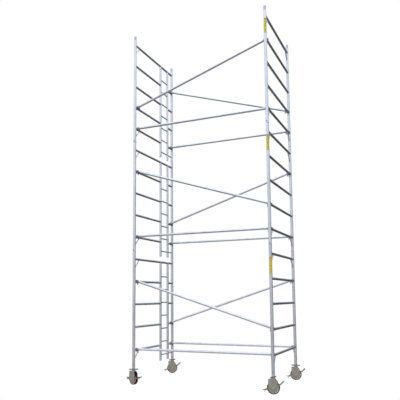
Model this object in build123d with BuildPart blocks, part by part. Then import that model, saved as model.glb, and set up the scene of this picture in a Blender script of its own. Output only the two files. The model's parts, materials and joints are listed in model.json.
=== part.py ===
from build123d import *
import os
from math import atan2, degrees, hypot

# Mobile aluminium scaffold tower: three lifts of welded end frames, braced front and rear,
# on four screw jacks with braked casters. Millimetres, +Z up, origin on the floor at the
# middle of the four legs. X runs from the ladder frames (-X) to the plain frames (+X).

# ---- driving sizes: the tower ----
tower_length = 2500.0        # leg axis to leg axis, along the braces
frame_width = 1500.0         # leg axis to leg axis, along the rungs
lifts = 3
lift_height = 2000.0         # one frame stacks on the next at this pitch
leg_diameter = 50.8
leg_wall = 2.0

# ---- rungs ----
rung_diameter = 42.0
rung_wall = 2.0
rung_count = 5
rung_spacing = 400.0
first_rung = 310.0           # lower end of a leg to the lowest rung
knee_diameter = 20.0
knee_wall = 1.6
knee_reach = 175.0           # how far the knee brace runs out along the rung and down the leg

# ---- built-in ladder of the -X frames ----
stile_diameter = 44.0
stile_wall = 2.0
stile_inset = 200.0          # rear leg axis to the nearer stile axis
ladder_width = 300.0         # stile axis to stile axis
stile_drop = 1890.0          # top rung to the cut ends of the stiles
ladder_rung_diameter = 25.4
ladder_rung_wall = 1.6
ladder_rung_count = 7
ladder_spacing = 250.0
first_ladder_rung = 280.0    # top rung to the highest ladder rung

# ---- spigots and interlock clips ----
spigot_gap = 0.25            # spigot to leg bore
spigot_wall = 2.5
spigot_below = 120.0
spigot_above = 70.0
spigot_lead = 2.0            # chamfer at the spigot's top
collar_height = 3.0
pin_diameter = 8.0
pin_gap = 0.1
pin_height = 45.0            # lower end of a leg to its interlock pin
clip_wire = 5.0
clip_gap = 0.3
clip_wrap = 250.0            # degrees of the leg that the wire goes round
clip_stem = 20.0
clip_loop = 20.0             # finger loop, across the middle of the wire
pin_clear = 0.4              # pin's end to a jack screw inside the leg

# ---- braces and their claws ----
brace_diameter = 42.0
brace_wall = 2.0
brace_inset = 75.0           # leg axis to brace axis, along the rung
brace_rise = 12.0            # rung axis to brace axis
claw_gap = 0.5               # claw to rung
claw_wall = 9.5
claw_width = 30.0
claw_back = 50.0             # rung axis to the end of the brace tube
claw_plug = 40.0             # how far the claw plugs into the tube
claw_round = 5.0
claw_stub = 8.0              # round stub between the tube's end and the hook
hook_drop = 10.0             # how far the hook reaches down past the rung's axis
cheek_drop = 22.0            # rung axis down to the lower edge of the claw's cheeks
latch_slot = 17.5            # how far the latch's slot runs up from that edge
plug_gap = 0.1
latch_width = 10.0
latch_gap = 0.5
latch_pin = 6.0
latch_strap = 8.0
latch_boss = 14.0
latch_thumb = 12.0
pivot_back = 11.5            # rung's seat to the latch's pin
pivot_drop = 14.0            # rung axis down to the latch's pin
nose_gap = 2.0               # rung to the closed latch

# ---- jack and caster ----
screw_diameter = 38.0
screw_inside = 350.0         # how far the screw stands inside the leg
screw_wall = 5.0
shoulder_height = 6.4
shoulder_diameter = 54.0
nut_gap = 0.05               # running fit
nut_height = 28.7
nut_proud = 2.6              # nut's rim beyond the leg
wing_span = 156.0
wing_height = 20.0
wing_width = 12.0
wing_round = 3.0
seat_gap = 0.3               # axial gap between pieces that turn on each other
wheel_diameter = 200.0
wheel_width = 50.0
tread_depth = 16.0
tread_round = 7.0
seat_thickness = 10.0
seat_inset = 2.0             # tread's side to the side of its seat
web_thickness = 12.0
hub_diameter = 52.0
hub_proud = 1.0              # hub's end beyond the tread's side
axle_diameter = 16.0
fit_gap = 0.05               # running fit on the axle and the kingpin
kingpin_diameter = 20.0
kingpin_head = 30.0
kingpin_head_height = 8.0
wheel_clearance = 22.0       # tread to the underside of the fork's crown
race_height = 11.0
race_diameter = 76.0
race_chamfer = 4.0
fork_plate = 4.5
crown_thickness = 6.0
fork_radius = 72.0           # rounded lower ends of the side plates
fork_front = 78.0            # swivel axis to the front skirt's face
crown_end = 30.0             # swivel axis to the end of the crown, where the plates slope off
skirt_gap = 3.7              # tread to the lower edge of the fork's front skirt
pedal_plate = 4.0
pedal_strap = 18.0
pedal_boss = 30.0
pedal_foot = 6.0             # thickness of the foot plates
pedal_gap = 1.0              # straps to the hub and to the fork
hex_size = 24.0
hex_height = 10.0
axle_end = 3.0               # bolt's end beyond its nut

# Each leg: name, side of X, side of Y, axle heading, heading of the nut's wings, brake angle.
corners = [
    ("front_left", -1, -1, -21.0, 29.0, 17.0),
    ("rear_left", -1, 1, 27.0, 66.0, 0.0),
    ("front_right", 1, -1, 9.0, 74.0, 0.0),
    ("rear_right", 1, 1, 13.0, -4.0, 0.0),
]

# ---- worked-out sizes ----
end_x = tower_length / 2
side_y = frame_width / 2
leg_length = lift_height - collar_height
leg_bore = leg_diameter / 2 - leg_wall
nut_diameter = leg_diameter + 2 * nut_proud
spigot_radius = leg_bore - spigot_gap
rung_drops = [first_rung + rung_spacing * k for k in range(rung_count)]
top_drop = rung_drops[-1]
stile_ys = [side_y - stile_inset - ladder_width, side_y - stile_inset]
wheel_radius = wheel_diameter / 2
rim_radius = wheel_radius - tread_depth
crown_low = wheel_diameter + wheel_clearance
head_height = crown_low + crown_thickness + race_height
leg_bottom = head_height + shoulder_height + nut_height + 3 * seat_gap
hub_width = wheel_width + 2 * hub_proud
fork_inside = hub_width + 2 * (pedal_plate + 2 * pedal_gap)
brace_y = side_y - brace_inset
brace_bore = brace_diameter / 2 - brace_wall

# ---- the outline of a claw, in the brace's plane: rung axis at 0, 0 ----
claw_bore = rung_diameter / 2 + claw_gap
claw_radius = claw_bore + claw_wall
latch_pivot = (-claw_bore - pivot_back, -pivot_drop)
latch_nose = (-latch_strap / 2, -rung_diameter / 2 - nose_gap - latch_strap / 2)
latch_tail = (latch_pivot[0] - 11.0, latch_pivot[1] - 26.0)

# ---- the outline of a brake pedal, from its axle: it bends and ends outside the tread ----
high_bend = (wheel_radius + 6.0, 50.0)
high_foot = (wheel_radius + 14.0, 58.0)
high_end = (wheel_radius + 58.0, 98.0)
low_bend = (-wheel_radius - 22.0, -30.0)
low_end = (-wheel_radius - 64.0, -36.0)
low_prong = (-wheel_radius - 38.0, -62.0)

os.makedirs("parts", exist_ok=True)


def write(name, pieces):
    """One file for one node, which holds one solid or a group of separate solids."""
    if len(pieces) == 1:
        node = pieces[0]
    else:
        node = Compound(children=pieces)
    node.label = name
    export_step(node, "parts/" + name + ".step")


def bar(start, end, diameter):
    """A solid round bar, used to cope the ends of the tubes that meet it."""
    run = Vector(*end) - Vector(*start)
    with BuildPart() as body:
        with BuildSketch(Plane(origin=start, z_dir=run)):
            Circle(diameter / 2)
        extrude(amount=run.length)
    return body.part


def tube(start, end, diameter, wall, copes=()):
    """A round tube, its ends coped by the bars that it is welded to."""
    run = Vector(*end) - Vector(*start)
    with BuildPart() as body:
        with BuildSketch(Plane(origin=start, z_dir=run)):
            Circle(diameter / 2)
            Circle(diameter / 2 - wall, mode=Mode.SUBTRACT)
        extrude(amount=run.length)
        for cope in copes:
            add(cope, mode=Mode.SUBTRACT)
    return body.part


# ---------------------------------------------------------------- welded end frames

def leg(x, y, base):
    """One upright, drilled through near its lower end for the interlock pin."""
    out = 1 if y > 0 else -1
    with BuildPart() as upright:
        with BuildSketch(Plane.XY.offset(base)):
            with Locations((x, y)):
                Circle(leg_diameter / 2)
                Circle(leg_bore, mode=Mode.SUBTRACT)
        extrude(amount=leg_length)
        with BuildSketch(Plane(origin=(x, y, base + pin_height), z_dir=(0, out, 0))):
            Circle(pin_diameter / 2 + pin_gap)
        extrude(amount=leg_diameter, mode=Mode.SUBTRACT)
    return upright.part


def knee(x, y, rung_z, copes):
    """The short strut from a leg up to the underside of a rung."""
    inward = -1 if y > 0 else 1
    foot = (x, y, rung_z - knee_reach)
    head = (x, y + inward * knee_reach, rung_z)
    return tube(foot, head, knee_diameter, knee_wall, copes)


def plain_frame(base):
    """Two legs, five full rungs and four knee braces."""
    x = end_x
    legs = [bar((x, y, base), (x, y, base + leg_length), leg_diameter) for y in (-side_y, side_y)]
    pieces = [leg(x, y, base) for y in (-side_y, side_y)]
    for drop in rung_drops:
        z = base + drop
        pieces.append(tube((x, -side_y, z), (x, side_y, z), rung_diameter, rung_wall, legs))
    for drop in (rung_drops[0], top_drop):
        z = base + drop
        rung = bar((x, -side_y, z), (x, side_y, z), rung_diameter)
        for y in (-side_y, side_y):
            pieces.append(knee(x, y, z, legs + [rung]))
    return pieces


def ladder_frame(base):
    """Two legs, a full top rung, split lower rungs and two knee braces at the front leg."""
    x = -end_x
    legs = [bar((x, y, base), (x, y, base + leg_length), leg_diameter) for y in (-side_y, side_y)]
    stiles = [bar((x, y, base), (x, y, base + top_drop), stile_diameter) for y in stile_ys]
    copes = legs + stiles
    pieces = [leg(x, y, base) for y in (-side_y, side_y)]
    for drop in rung_drops[:-1]:
        z = base + drop
        pieces.append(tube((x, -side_y, z), (x, stile_ys[0], z), rung_diameter, rung_wall, copes))
        pieces.append(tube((x, stile_ys[1], z), (x, side_y, z), rung_diameter, rung_wall, copes))
    z = base + top_drop
    pieces.append(tube((x, -side_y, z), (x, side_y, z), rung_diameter, rung_wall, legs))
    for drop in (rung_drops[0], top_drop):
        z = base + drop
        rung = bar((x, -side_y, z), (x, side_y, z), rung_diameter)
        pieces.append(knee(x, -side_y, z, legs + [rung]))
    return pieces


def ladder_section(base):
    """Two stiles under the top rung, with the ladder rungs between them."""
    x = -end_x
    top = base + top_drop
    rung = bar((x, -side_y, top), (x, side_y, top), rung_diameter)
    rear_leg = bar((x, side_y, base), (x, side_y, base + leg_length), leg_diameter)
    low = top - stile_drop
    stiles = [bar((x, y, low), (x, y, top), stile_diameter) for y in stile_ys]
    pieces = [tube((x, y, low), (x, y, top), stile_diameter, stile_wall, [rung]) for y in stile_ys]
    heights = [top - first_ladder_rung - ladder_spacing * k for k in range(ladder_rung_count)]
    for z in heights:
        ends = [(x, y, z) for y in stile_ys]
        pieces.append(tube(*ends, ladder_rung_diameter, ladder_rung_wall, stiles))
    stay = [(x, stile_ys[1], heights[-1]), (x, side_y, heights[-1])]
    pieces.append(tube(*stay, ladder_rung_diameter, ladder_rung_wall, stiles + [rear_leg]))
    return pieces


# ---------------------------------------------------------------- spigots and clips

def spigot(x, y, base):
    """The collared tube in the top of a leg that the next leg stands on."""
    top = base + leg_length
    drilled = top + collar_height + pin_height
    out = 1 if y > 0 else -1
    with BuildPart() as body:
        with BuildSketch(Plane.XY.offset(top - spigot_below)):
            with Locations((x, y)):
                Circle(spigot_radius)
        extrude(amount=spigot_below + collar_height + spigot_above)
        chamfer(body.faces().sort_by(Axis.Z)[-1].edges(), spigot_lead)
        with BuildSketch(Plane.XY.offset(top)):
            with Locations((x, y)):
                Circle(leg_diameter / 2)
        extrude(amount=collar_height)
        with BuildSketch(Plane.XY.offset(top - spigot_below)):
            with Locations((x, y)):
                Circle(spigot_radius - spigot_wall)
        extrude(amount=spigot_below + collar_height + spigot_above, mode=Mode.SUBTRACT)
        with BuildSketch(Plane(origin=(x, y, drilled), z_dir=(0, out, 0))):
            Circle(pin_diameter / 2 + pin_gap)
        extrude(amount=leg_diameter, mode=Mode.SUBTRACT)
    return body.part


def interlock_clip():
    """A sprung wire round the leg with a pin through it and a finger loop; leg on the Z axis."""
    ring = leg_diameter / 2 + clip_gap + clip_wire / 2
    pin_end = screw_diameter / 2 + pin_clear
    with BuildPart() as clip:
        with BuildSketch(Plane.XZ):
            with Locations((ring, 0)):
                Circle(clip_wire / 2)
        revolve(axis=Axis.Z, revolution_arc=clip_wrap)
        with BuildSketch(Plane.YZ.offset(pin_end)):
            Circle(pin_diameter / 2)
        extrude(amount=ring + clip_wire / 2 - pin_end)
        with BuildSketch(Plane.XY):
            with Locations((ring, 0)):
                Circle(clip_wire / 2)
        extrude(amount=clip_stem)
        with BuildSketch(Plane.XZ):
            with Locations((ring, clip_stem)):
                Circle(clip_wire / 2)
        revolve(axis=Axis((ring, 0, clip_stem + clip_loop / 2), (1, 0, 0)))
    return clip.part


# ---------------------------------------------------------------- braces

def brace_tube(run):
    """The straight tube of a brace, along X, its rungs' axes at 0, 0 and run, 0."""
    start = (claw_back - run / 2, 0, brace_rise)
    end = (run / 2 - claw_back, 0, brace_rise)
    return tube(start, end, brace_diameter, brace_wall)


def claw():
    """The cast hook at the +X end of a brace, over a rung whose axis is Y through the origin."""
    back = -claw_back
    block_top = brace_rise + brace_diameter / 2
    hook_width = 2 * claw_radius
    with BuildPart() as casting:
        with BuildSketch(Plane.XZ):
            Circle(claw_radius)
            with Locations((back / 2, (block_top - cheek_drop) / 2)):
                RectangleRounded(claw_back, block_top + cheek_drop, claw_round)
            Circle(claw_bore, mode=Mode.SUBTRACT)
            with Locations((0, 0)):
                Rectangle(
                    2 * claw_bore, hook_width, align=(Align.CENTER, Align.MAX), mode=Mode.SUBTRACT
                )
            with Locations((0, -hook_drop)):
                Rectangle(
                    hook_width, hook_width, align=(Align.MIN, Align.MAX), mode=Mode.SUBTRACT
                )
        extrude(amount=claw_width / 2, both=True)
        with BuildSketch(Plane.YZ.offset(back)):
            with Locations((0, brace_rise)):
                Circle(brace_diameter / 2)
        extrude(amount=claw_stub)
        with BuildSketch(Plane.YZ.offset(back)):
            with Locations((0, brace_rise)):
                Circle(brace_bore - plug_gap)
        extrude(amount=-claw_plug)
        with BuildSketch(Plane.XZ):
            with Locations((back, -cheek_drop)):
                Rectangle(claw_back, 2 * latch_slot, align=(Align.MIN, Align.CENTER))
        extrude(amount=latch_width / 2 + latch_gap, both=True, mode=Mode.SUBTRACT)
        with BuildSketch(Plane.XZ):
            with Locations(latch_pivot):
                Circle(latch_pin / 2)
        extrude(amount=claw_width / 2, both=True)
    return casting.part


def slot_between(a, b, height):
    """A round-ended strap outline from point a to point b, in the sketch being made."""
    middle = ((a[0] + b[0]) / 2, (a[1] + b[1]) / 2)
    with Locations(middle):
        SlotCenterToCenter(
            hypot(b[0] - a[0], b[1] - a[1]), height, rotation=degrees(atan2(b[1] - a[1], b[0] - a[0]))
        )


def latch():
    """The sprung trigger that closes a claw under its rung, on the claw's cross pin."""
    with BuildPart() as trigger:
        with BuildSketch(Plane.XZ):
            slot_between(latch_pivot, latch_nose, latch_strap)
            slot_between(latch_pivot, latch_tail, latch_strap)
            with Locations(latch_pivot):
                Circle(latch_boss / 2)
                Circle(latch_pin / 2 + fit_gap, mode=Mode.SUBTRACT)
        extrude(amount=latch_width / 2, both=True)
        with BuildSketch(Plane.XZ):
            with Locations(latch_tail):
                Circle(latch_thumb / 2)
        extrude(amount=claw_width / 2, both=True)
    return trigger.part


# ---------------------------------------------------------------- jacks

def jack_screw():
    """The threaded jack, its shoulder and the kingpin that the caster turns on; axis Z."""
    shoulder = head_height + seat_gap
    pin_low = crown_low - seat_gap
    with BuildPart() as screw:
        with BuildSketch(Plane.XY.offset(shoulder)):
            Circle(screw_diameter / 2)
        extrude(amount=leg_bottom + screw_inside - shoulder)
        with BuildSketch(Plane.XY.offset(leg_bottom)):
            Circle(screw_diameter / 2 - screw_wall)
        extrude(amount=screw_inside, mode=Mode.SUBTRACT)
        with BuildSketch(Plane.XY.offset(shoulder)):
            Circle(shoulder_diameter / 2)
        extrude(amount=shoulder_height)
        with BuildSketch(Plane.XY.offset(pin_low)):
            Circle(kingpin_diameter / 2)
        extrude(amount=shoulder - pin_low)
        with BuildSketch(Plane.XY.offset(pin_low)):
            Circle(kingpin_head / 2)
        extrude(amount=-kingpin_head_height)
    return screw.part


def wing_nut():
    """The nut under the leg's end, with two cast wings to turn it by."""
    low = leg_bottom - seat_gap - nut_height
    with BuildPart() as nut:
        with BuildSketch(Plane.XY.offset(low)):
            Circle(nut_diameter / 2)
        extrude(amount=nut_height)
        with BuildSketch(Plane.XY.offset(low + (nut_height - wing_height) / 2)):
            SlotOverall(wing_span, wing_width)
            with Locations((-wing_span / 2 + wing_width, 0), (wing_span / 2 - wing_width, 0)):
                Circle(wing_width)
        extrude(amount=wing_height)
        fillet(nut.edges().filter_by(GeomType.CIRCLE).group_by(Axis.Z)[-1], wing_round)
        with BuildSketch(Plane.XY.offset(low)):
            Circle(screw_diameter / 2 + nut_gap)
        extrude(amount=nut_height, mode=Mode.SUBTRACT)
    return nut.part


# ---------------------------------------------------------------- casters
# Built with the swivel axis on Z, the axle along Y at the wheel's height, the brake's
# high end towards +X.

def fork():
    """Pressed fork: a crown, a front skirt and two side plates, with the ball race on top."""
    top = crown_low + crown_thickness
    outside = fork_inside + 2 * fork_plate
    inner_end = fork_front - fork_plate
    back = 2 * fork_radius - fork_front
    skirt_low = wheel_radius + ((wheel_radius + skirt_gap) ** 2 - inner_end**2) ** 0.5
    with BuildPart() as body:
        with BuildSketch(Plane.XZ):
            with BuildLine():
                Polyline(
                    (-fork_front, wheel_radius),
                    (-fork_front, top),
                    (crown_end, top),
                    (back, top + crown_end - back),
                    (back, wheel_radius),
                )
                ThreePointArc(
                    (back, wheel_radius),
                    (fork_radius - fork_front, wheel_radius - fork_radius),
                    (-fork_front, wheel_radius),
                )
            make_face()
        extrude(amount=outside / 2, both=True)
        with BuildSketch(Plane.XZ):
            with Locations((0, skirt_low)):
                Rectangle(3 * fork_radius, 2 * wheel_diameter, align=(Align.CENTER, Align.MAX))
            with Locations((-inner_end, crown_low)):
                Rectangle(3 * fork_radius, wheel_diameter, align=(Align.MIN, Align.MAX))
            with Locations((crown_end, top + crown_thickness)):
                Rectangle(2 * fork_radius, wheel_diameter, align=(Align.MIN, Align.MAX))
        extrude(amount=fork_inside / 2, both=True, mode=Mode.SUBTRACT)
        with BuildSketch(Plane.XY.offset(top)):
            Circle(race_diameter / 2)
        extrude(amount=race_height)
        chamfer(body.faces().sort_by(Axis.Z)[-1].edges(), race_chamfer)
        with BuildSketch(Plane.XY.offset(crown_low)):
            Circle(kingpin_diameter / 2 + fit_gap)
        extrude(amount=crown_thickness + race_height, mode=Mode.SUBTRACT)
        with BuildSketch(Plane.XZ):
            with Locations((0, wheel_radius)):
                Circle(axle_diameter / 2 + fit_gap)
        extrude(amount=outside, both=True, mode=Mode.SUBTRACT)
    return body.part


def axle():
    """The axle bolt with its hexagon head, and its nut, on either side of the fork."""
    outside = fork_inside / 2 + fork_plate
    with BuildPart() as bolt:
        with BuildSketch(Plane.XZ.offset(-outside)):
            with Locations((0, wheel_radius)):
                RegularPolygon(hex_size / 2, 6, major_radius=False)
        extrude(amount=-hex_height)
        with BuildSketch(Plane.XZ.offset(-outside)):
            with Locations((0, wheel_radius)):
                Circle(axle_diameter / 2)
        extrude(amount=2 * outside + hex_height + axle_end)
    with BuildPart() as nut:
        with BuildSketch(Plane.XZ.offset(outside)):
            with Locations((0, wheel_radius)):
                RegularPolygon(hex_size / 2, 6, major_radius=False)
                Circle(axle_diameter / 2 + fit_gap, mode=Mode.SUBTRACT)
        extrude(amount=hex_height)
    return [bolt.part, nut.part]


def ring_section(inner, outer, width):
    """A rectangle of a turned piece's section: X is the radius, Y runs along the axle."""
    with Locations(((inner + outer) / 2, 0)):
        Rectangle(outer - inner, width)


def rim():
    """The wheel core: hub, web and tread seat, turned about the axle."""
    bore = axle_diameter / 2 + fit_gap
    with BuildPart() as core:
        with BuildSketch(Plane.XY):
            ring_section(bore, hub_diameter / 2, hub_width)
            ring_section(bore, rim_radius, web_thickness)
            ring_section(rim_radius - seat_thickness, rim_radius, wheel_width - 2 * seat_inset)
        revolve(axis=Axis.Y)
    return core.part.moved(Location((0, 0, wheel_radius)))


def tread():
    """The moulded tread, bonded round the core."""
    with BuildPart() as tyre:
        with BuildSketch(Plane.XY) as section:
            ring_section(rim_radius, wheel_radius, wheel_width)
            fillet(section.vertices().sort_by(Axis.X)[-2:], tread_round)
        revolve(axis=Axis.Y)
    return tyre.part.moved(Location((0, 0, wheel_radius)))


def brake_pedal(turned):
    """The rocking brake: two straps on the axle, joined by a foot plate at each end."""
    inner = hub_width / 2 + pedal_gap
    with BuildPart() as pedal:
        with BuildSketch(Plane.XZ.offset(inner)):
            slot_between((0, 0), high_bend, pedal_strap)
            slot_between(high_bend, high_end, pedal_strap)
            slot_between((0, 0), low_bend, pedal_strap)
            with Locations((0, 0)):
                Circle(pedal_boss / 2)
                Circle(axle_diameter / 2 + fit_gap, mode=Mode.SUBTRACT)
        extrude(amount=pedal_plate)
        mirror(about=Plane.XZ)
        with BuildSketch(Plane.XZ):
            slot_between(high_foot, high_end, pedal_foot)
            slot_between(low_bend, low_end, pedal_foot)
            slot_between(low_bend, low_prong, pedal_foot)
        extrude(amount=inner + pedal_plate, both=True)
    return pedal.part.rotate(Axis.Y, turned).moved(Location((0, 0, wheel_radius)))


# ---------------------------------------------------------------- write every node

lift_bases = [leg_bottom + lift_height * k for k in range(lifts)]
leg_places = [(sx * end_x, sy * side_y) for sx in (-1, 1) for sy in (-1, 1)]

for number, base in enumerate(lift_bases, start=1):
    write("ladder_frame_" + str(number), ladder_frame(base))
    write("plain_frame_" + str(number), plain_frame(base))

write("frame_ladders", [piece for base in lift_bases for piece in ladder_section(base)])
write("leg_spigots", [spigot(x, y, base) for base in lift_bases for x, y in leg_places])

clip = interlock_clip()
clips = []
for base in lift_bases:
    for x, y in leg_places:
        turn = 90 if y > 0 else -90
        clips.append(clip.moved(Location((x, y, base + pin_height), (0, 0, turn))))
write("interlock_clips", clips)

# Each brace: name, side of Y, rung at the -X end, rung at the +X end (0 is the lowest rung).
brace_plan = []
for number in range(1, lifts + 1):
    brace_plan.append(("front_rail_" + str(number), -1, number, 0, 0))
    brace_plan.append(("rear_rail_" + str(number), 1, number, 0, 0))
    front = (1, 3) if number == lifts else (3, 1)
    brace_plan.append(("front_diagonal_" + str(number), -1, number) + front)
    brace_plan.append(("rear_diagonal_" + str(number), 1, number) + front[::-1])

hook = claw()
trigger = latch()
rails, diagonals, claws = [], [], []
for name, side, number, low_rung, high_rung in brace_plan:
    base = lift_bases[number - 1]
    z_left = base + rung_drops[low_rung]
    z_right = base + rung_drops[high_rung]
    run = hypot(tower_length, z_right - z_left)
    slope = degrees(atan2(z_right - z_left, tower_length))
    place = Location((0, side * brace_y, (z_left + z_right) / 2), (0, -slope, 0))
    group = rails if low_rung == high_rung else diagonals
    group.append(brace_tube(run).moved(place))
    for end, turn in (("left", 180), ("right", 0)):
        at = place * Location((run / 2 * (1 if end == "right" else -1), 0, 0), (0, 0, turn))
        claws.append(hook.moved(at))
        write("latch_" + name + "_" + end, [trigger.moved(at)])
write("brace_rails", rails)
write("brace_diagonals", diagonals)
write("brace_claws", claws)

for name, sx, sy, heading, wings, brake in corners:
    stand = Location((sx * end_x, sy * side_y, 0))
    turned = Location((sx * end_x, sy * side_y, 0), (0, 0, heading))
    write("jack_screw_" + name, [jack_screw().moved(stand)])
    write("jack_nut_" + name, [wing_nut().moved(stand * Location((0, 0, 0), (0, 0, wings)))])
    write("caster_fork_" + name, [fork().moved(turned)] + [p.moved(turned) for p in axle()])
    write("wheel_rim_" + name, [rim().moved(turned)])
    write("wheel_tread_" + name, [tread().moved(turned)])
    write("brake_pedal_" + name, [brake_pedal(brake).moved(turned)])
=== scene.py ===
import json
import math

import bmesh
import bpy
from mathutils import Matrix, Vector

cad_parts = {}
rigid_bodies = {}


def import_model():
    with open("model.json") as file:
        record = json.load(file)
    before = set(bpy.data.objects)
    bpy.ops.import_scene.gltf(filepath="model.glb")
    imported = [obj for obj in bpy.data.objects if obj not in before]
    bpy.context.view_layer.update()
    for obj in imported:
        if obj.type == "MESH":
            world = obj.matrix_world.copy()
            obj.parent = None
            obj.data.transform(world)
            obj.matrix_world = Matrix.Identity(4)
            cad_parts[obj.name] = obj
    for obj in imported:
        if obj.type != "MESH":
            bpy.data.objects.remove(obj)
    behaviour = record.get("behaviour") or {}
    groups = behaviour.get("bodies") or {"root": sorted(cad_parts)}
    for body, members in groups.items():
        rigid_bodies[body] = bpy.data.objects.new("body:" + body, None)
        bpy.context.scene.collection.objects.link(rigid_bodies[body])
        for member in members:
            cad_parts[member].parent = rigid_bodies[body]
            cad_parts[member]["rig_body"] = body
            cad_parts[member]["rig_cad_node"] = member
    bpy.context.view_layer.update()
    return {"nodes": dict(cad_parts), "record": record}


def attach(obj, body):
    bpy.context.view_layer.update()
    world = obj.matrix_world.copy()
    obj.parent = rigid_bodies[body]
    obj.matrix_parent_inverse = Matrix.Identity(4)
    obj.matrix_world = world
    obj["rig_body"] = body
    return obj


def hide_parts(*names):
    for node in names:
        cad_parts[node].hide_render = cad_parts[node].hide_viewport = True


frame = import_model()
cad_nodes = frame["nodes"]

# The tower's sizes are in metres. Its end frames stand at END_X to each side of the middle, and
# the legs of an end frame at SIDE_Y.
END_X = 1.25
SIDE_Y = 0.75
LIFT = 2.0
LIFT_BASES = (0.275, 2.275, 4.275)
LEG_LENGTH = 1.997

# Heights above the lower end of a lift's legs.
RUNG_HEIGHTS = (0.31, 0.71, 1.11, 1.51, 1.91)
TOP_RUNG = RUNG_HEIGHTS[-1]
LADDER_HEIGHTS = (1.63, 1.38, 1.13, 0.88, 0.63, 0.38, 0.13)
RUNG_SPACING = 0.4

# Where the ladder's two stiles stand along Y, and how far a knee brace reaches from its corner.
STILES = (0.25, 0.55)
KNEE_REACH = 0.175

# Radii of the tubes.
LEG_R = 0.0254
RUNG_R = 0.021
STILE_R = 0.022
LADDER_RUNG_R = 0.0127
KNEE_R = 0.010
BRACE_R = 0.021

# How far out the braces run, and how far their axes sit above the rungs' axes.
BRACE_Y = 0.675
BRACE_RISE = 0.012
WHEEL_R = 0.1

# Each corner: its name, its side of X and Y, and the heading of its axle in degrees.
CORNERS = (
    ("front_left", -1, -1, -21.0),
    ("rear_left", -1, 1, 27.0),
    ("front_right", 1, -1, 9.0),
    ("rear_right", 1, 1, 13.0),
)


# ---------------------------------------------------------------- colours and nodes

def srgb(code):
    """A hex colour as the linear values that a socket takes."""
    values = [int(code[i:i + 2], 16) / 255 for i in (1, 3, 5)]
    linear = [v / 12.92 if v <= 0.04045 else ((v + 0.055) / 1.055) ** 2.4 for v in values]
    return linear + [1.0]


def add_node(tree, kind, inputs=None, **settings):
    """Adds a node to tree with its settings. An input that is a socket is linked, a value is set."""
    made = tree.nodes.new(kind)
    for name, value in settings.items():
        setattr(made, name, value)
    for name, value in (inputs or {}).items():
        if isinstance(value, bpy.types.NodeSocket):
            tree.links.new(value, made.inputs[name])
        else:
            made.inputs[name].default_value = value
    return made


def new_material(name, metallic, roughness):
    """A material with its shader: returns the material, its tree, the shader and Object coordinates."""
    material = bpy.data.materials.new(name)
    material.use_nodes = True
    tree = material.node_tree
    tree.nodes.clear()
    shader = add_node(tree, "ShaderNodeBsdfPrincipled", {"Metallic": metallic, "Roughness": roughness})
    add_node(tree, "ShaderNodeOutputMaterial", {"Surface": shader.outputs[0]})
    place = add_node(tree, "ShaderNodeTexCoord").outputs["Object"]
    return material, tree, shader, place


def noise(tree, place, stretch, detail=2.0, turn=None):
    """Noise with its own spacing along X, Y and Z: stretch is the size of a grain in millimetres."""
    inputs = {"Vector": place, "Scale": tuple(1000.0 / s for s in stretch)}
    if turn is not None:
        inputs["Rotation"] = turn
    mapped = add_node(tree, "ShaderNodeMapping", inputs).outputs[0]
    made = add_node(tree, "ShaderNodeTexNoise", {"Vector": mapped, "Scale": 1.0, "Detail": detail})
    return made.outputs[0]


def between(tree, value, low, high, to_low, to_high):
    """The value's range low to high spread over to_low to to_high, and held there."""
    return add_node(tree, "ShaderNodeMapRange", {
        "Value": value, "From Min": low, "From Max": high, "To Min": to_low, "To Max": to_high,
    }).outputs[0]


def blend(tree, share, first, second):
    """Two colours, or a colour and a socket, mixed by share."""
    mixed = add_node(tree, "ShaderNodeMix", data_type="RGBA")
    for socket, value in ((mixed.inputs[0], share), (mixed.inputs[6], first), (mixed.inputs[7], second)):
        if isinstance(value, bpy.types.NodeSocket):
            tree.links.new(value, socket)
        elif isinstance(value, str):
            socket.default_value = srgb(value)
        else:
            socket.default_value = value
    return mixed.outputs[2]


def choose(tree, share, first, second):
    """Two numbers mixed by share."""
    return add_node(tree, "ShaderNodeMix", {0: share, 2: first, 3: second}, data_type="FLOAT").outputs[0]


def math_node(tree, operation, *values):
    """One step of arithmetic on numbers or sockets."""
    return add_node(tree, "ShaderNodeMath", dict(enumerate(values)), operation=operation).outputs[0]


def relief(tree, shader, height, depth_mm, strength=0.6):
    """Bumps of the given depth from a height socket, on the shader."""
    bump = add_node(tree, "ShaderNodeBump", {
        "Height": height, "Distance": depth_mm / 1000.0, "Strength": strength})
    tree.links.new(bump.outputs[0], shader.inputs["Normal"])


def axes(tree, place):
    """The coordinates' X, Y and Z sockets."""
    return add_node(tree, "ShaderNodeSeparateXYZ", {"Vector": place}).outputs


# ---------------------------------------------------------------- the finishes

# Extruded alloy tube, mill finish: the eye gets soft long highlights, faint die lines that run
# along each tube, and patches where the oxide has dulled it. The real die lines are about
# 0.3 mm wide, and these are 3 mm so that they show. All three sizes are in millimetres.
DIE_LINE = 3.0
ALONG = 900.0
PATCH = 140.0

# Above this height in its lift a brace is a diagonal, and below it a level rail.
RAIL_ZONE = RUNG_HEIGHTS[0] + 0.1


def tube_finish(name, roughness, light, dull, die_lines):
    """Mill-finish tube: die_lines draws the lines along the tubes that the finish is for."""
    material, tree, shader, place = new_material(name, 1.0, roughness)
    lines = die_lines(tree, place)
    patches = noise(tree, place, (PATCH, PATCH, PATCH * 2), 3.0)
    handling = noise(tree, place, (18, 18, 40), 4.0)
    tint = blend(tree, between(tree, patches, 0.38, 0.66, 0.0, 0.55), light, dull)
    lined = blend(tree, between(tree, lines, 0.35, 0.7, 0.0, 0.22), tint, dull)
    tree.links.new(lined, shader.inputs["Base Color"])
    worn = math_node(tree, "ADD", between(tree, lines, 0.3, 0.7, roughness - 0.05, roughness + 0.05),
                     between(tree, handling, 0.45, 0.75, -0.03, 0.08))
    tree.links.new(worn, shader.inputs["Roughness"])
    relief(tree, shader, lines, 0.12, 0.35)
    return material


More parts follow.
